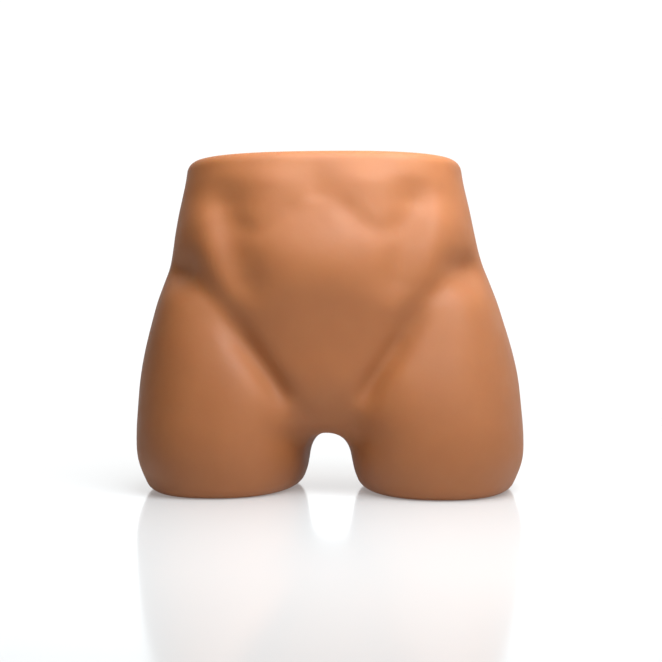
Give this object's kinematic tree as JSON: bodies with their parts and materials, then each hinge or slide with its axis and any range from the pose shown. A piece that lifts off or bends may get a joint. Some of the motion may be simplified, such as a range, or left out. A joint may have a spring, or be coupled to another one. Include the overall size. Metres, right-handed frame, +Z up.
{
  "type": "lower-torso mannequin form",
  "caption": "Lower-torso mannequin form, cut level at the waist and the upper thighs, a soft cast skin over a foam core, free-standing.",
  "frame": {"origin": "on the floor, at the middle of the body's box", "axes": "+X towards the body's own left, -Y out of its front, +Z up"},
  "size_m": [0.3394, 0.228, 0.288],
  "materials": {
    "skin": "soft satin elastomer, warm tan, lightly translucent",
    "foam": "rigid closed-cell foam, pale cream, moulded surface",
    "sleeve": "off-white extruded tube",
    "plug": "soft satin elastomer, slightly darker than the skin"
  },
  "bodies": {
    "root": {"skin": "skin", "foam_core": "foam", "post_sleeve_left": "sleeve", "post_sleeve_right": "sleeve", "thigh_plug_left": "plug", "thigh_plug_right": "plug"}
  },
  "joints": []
}
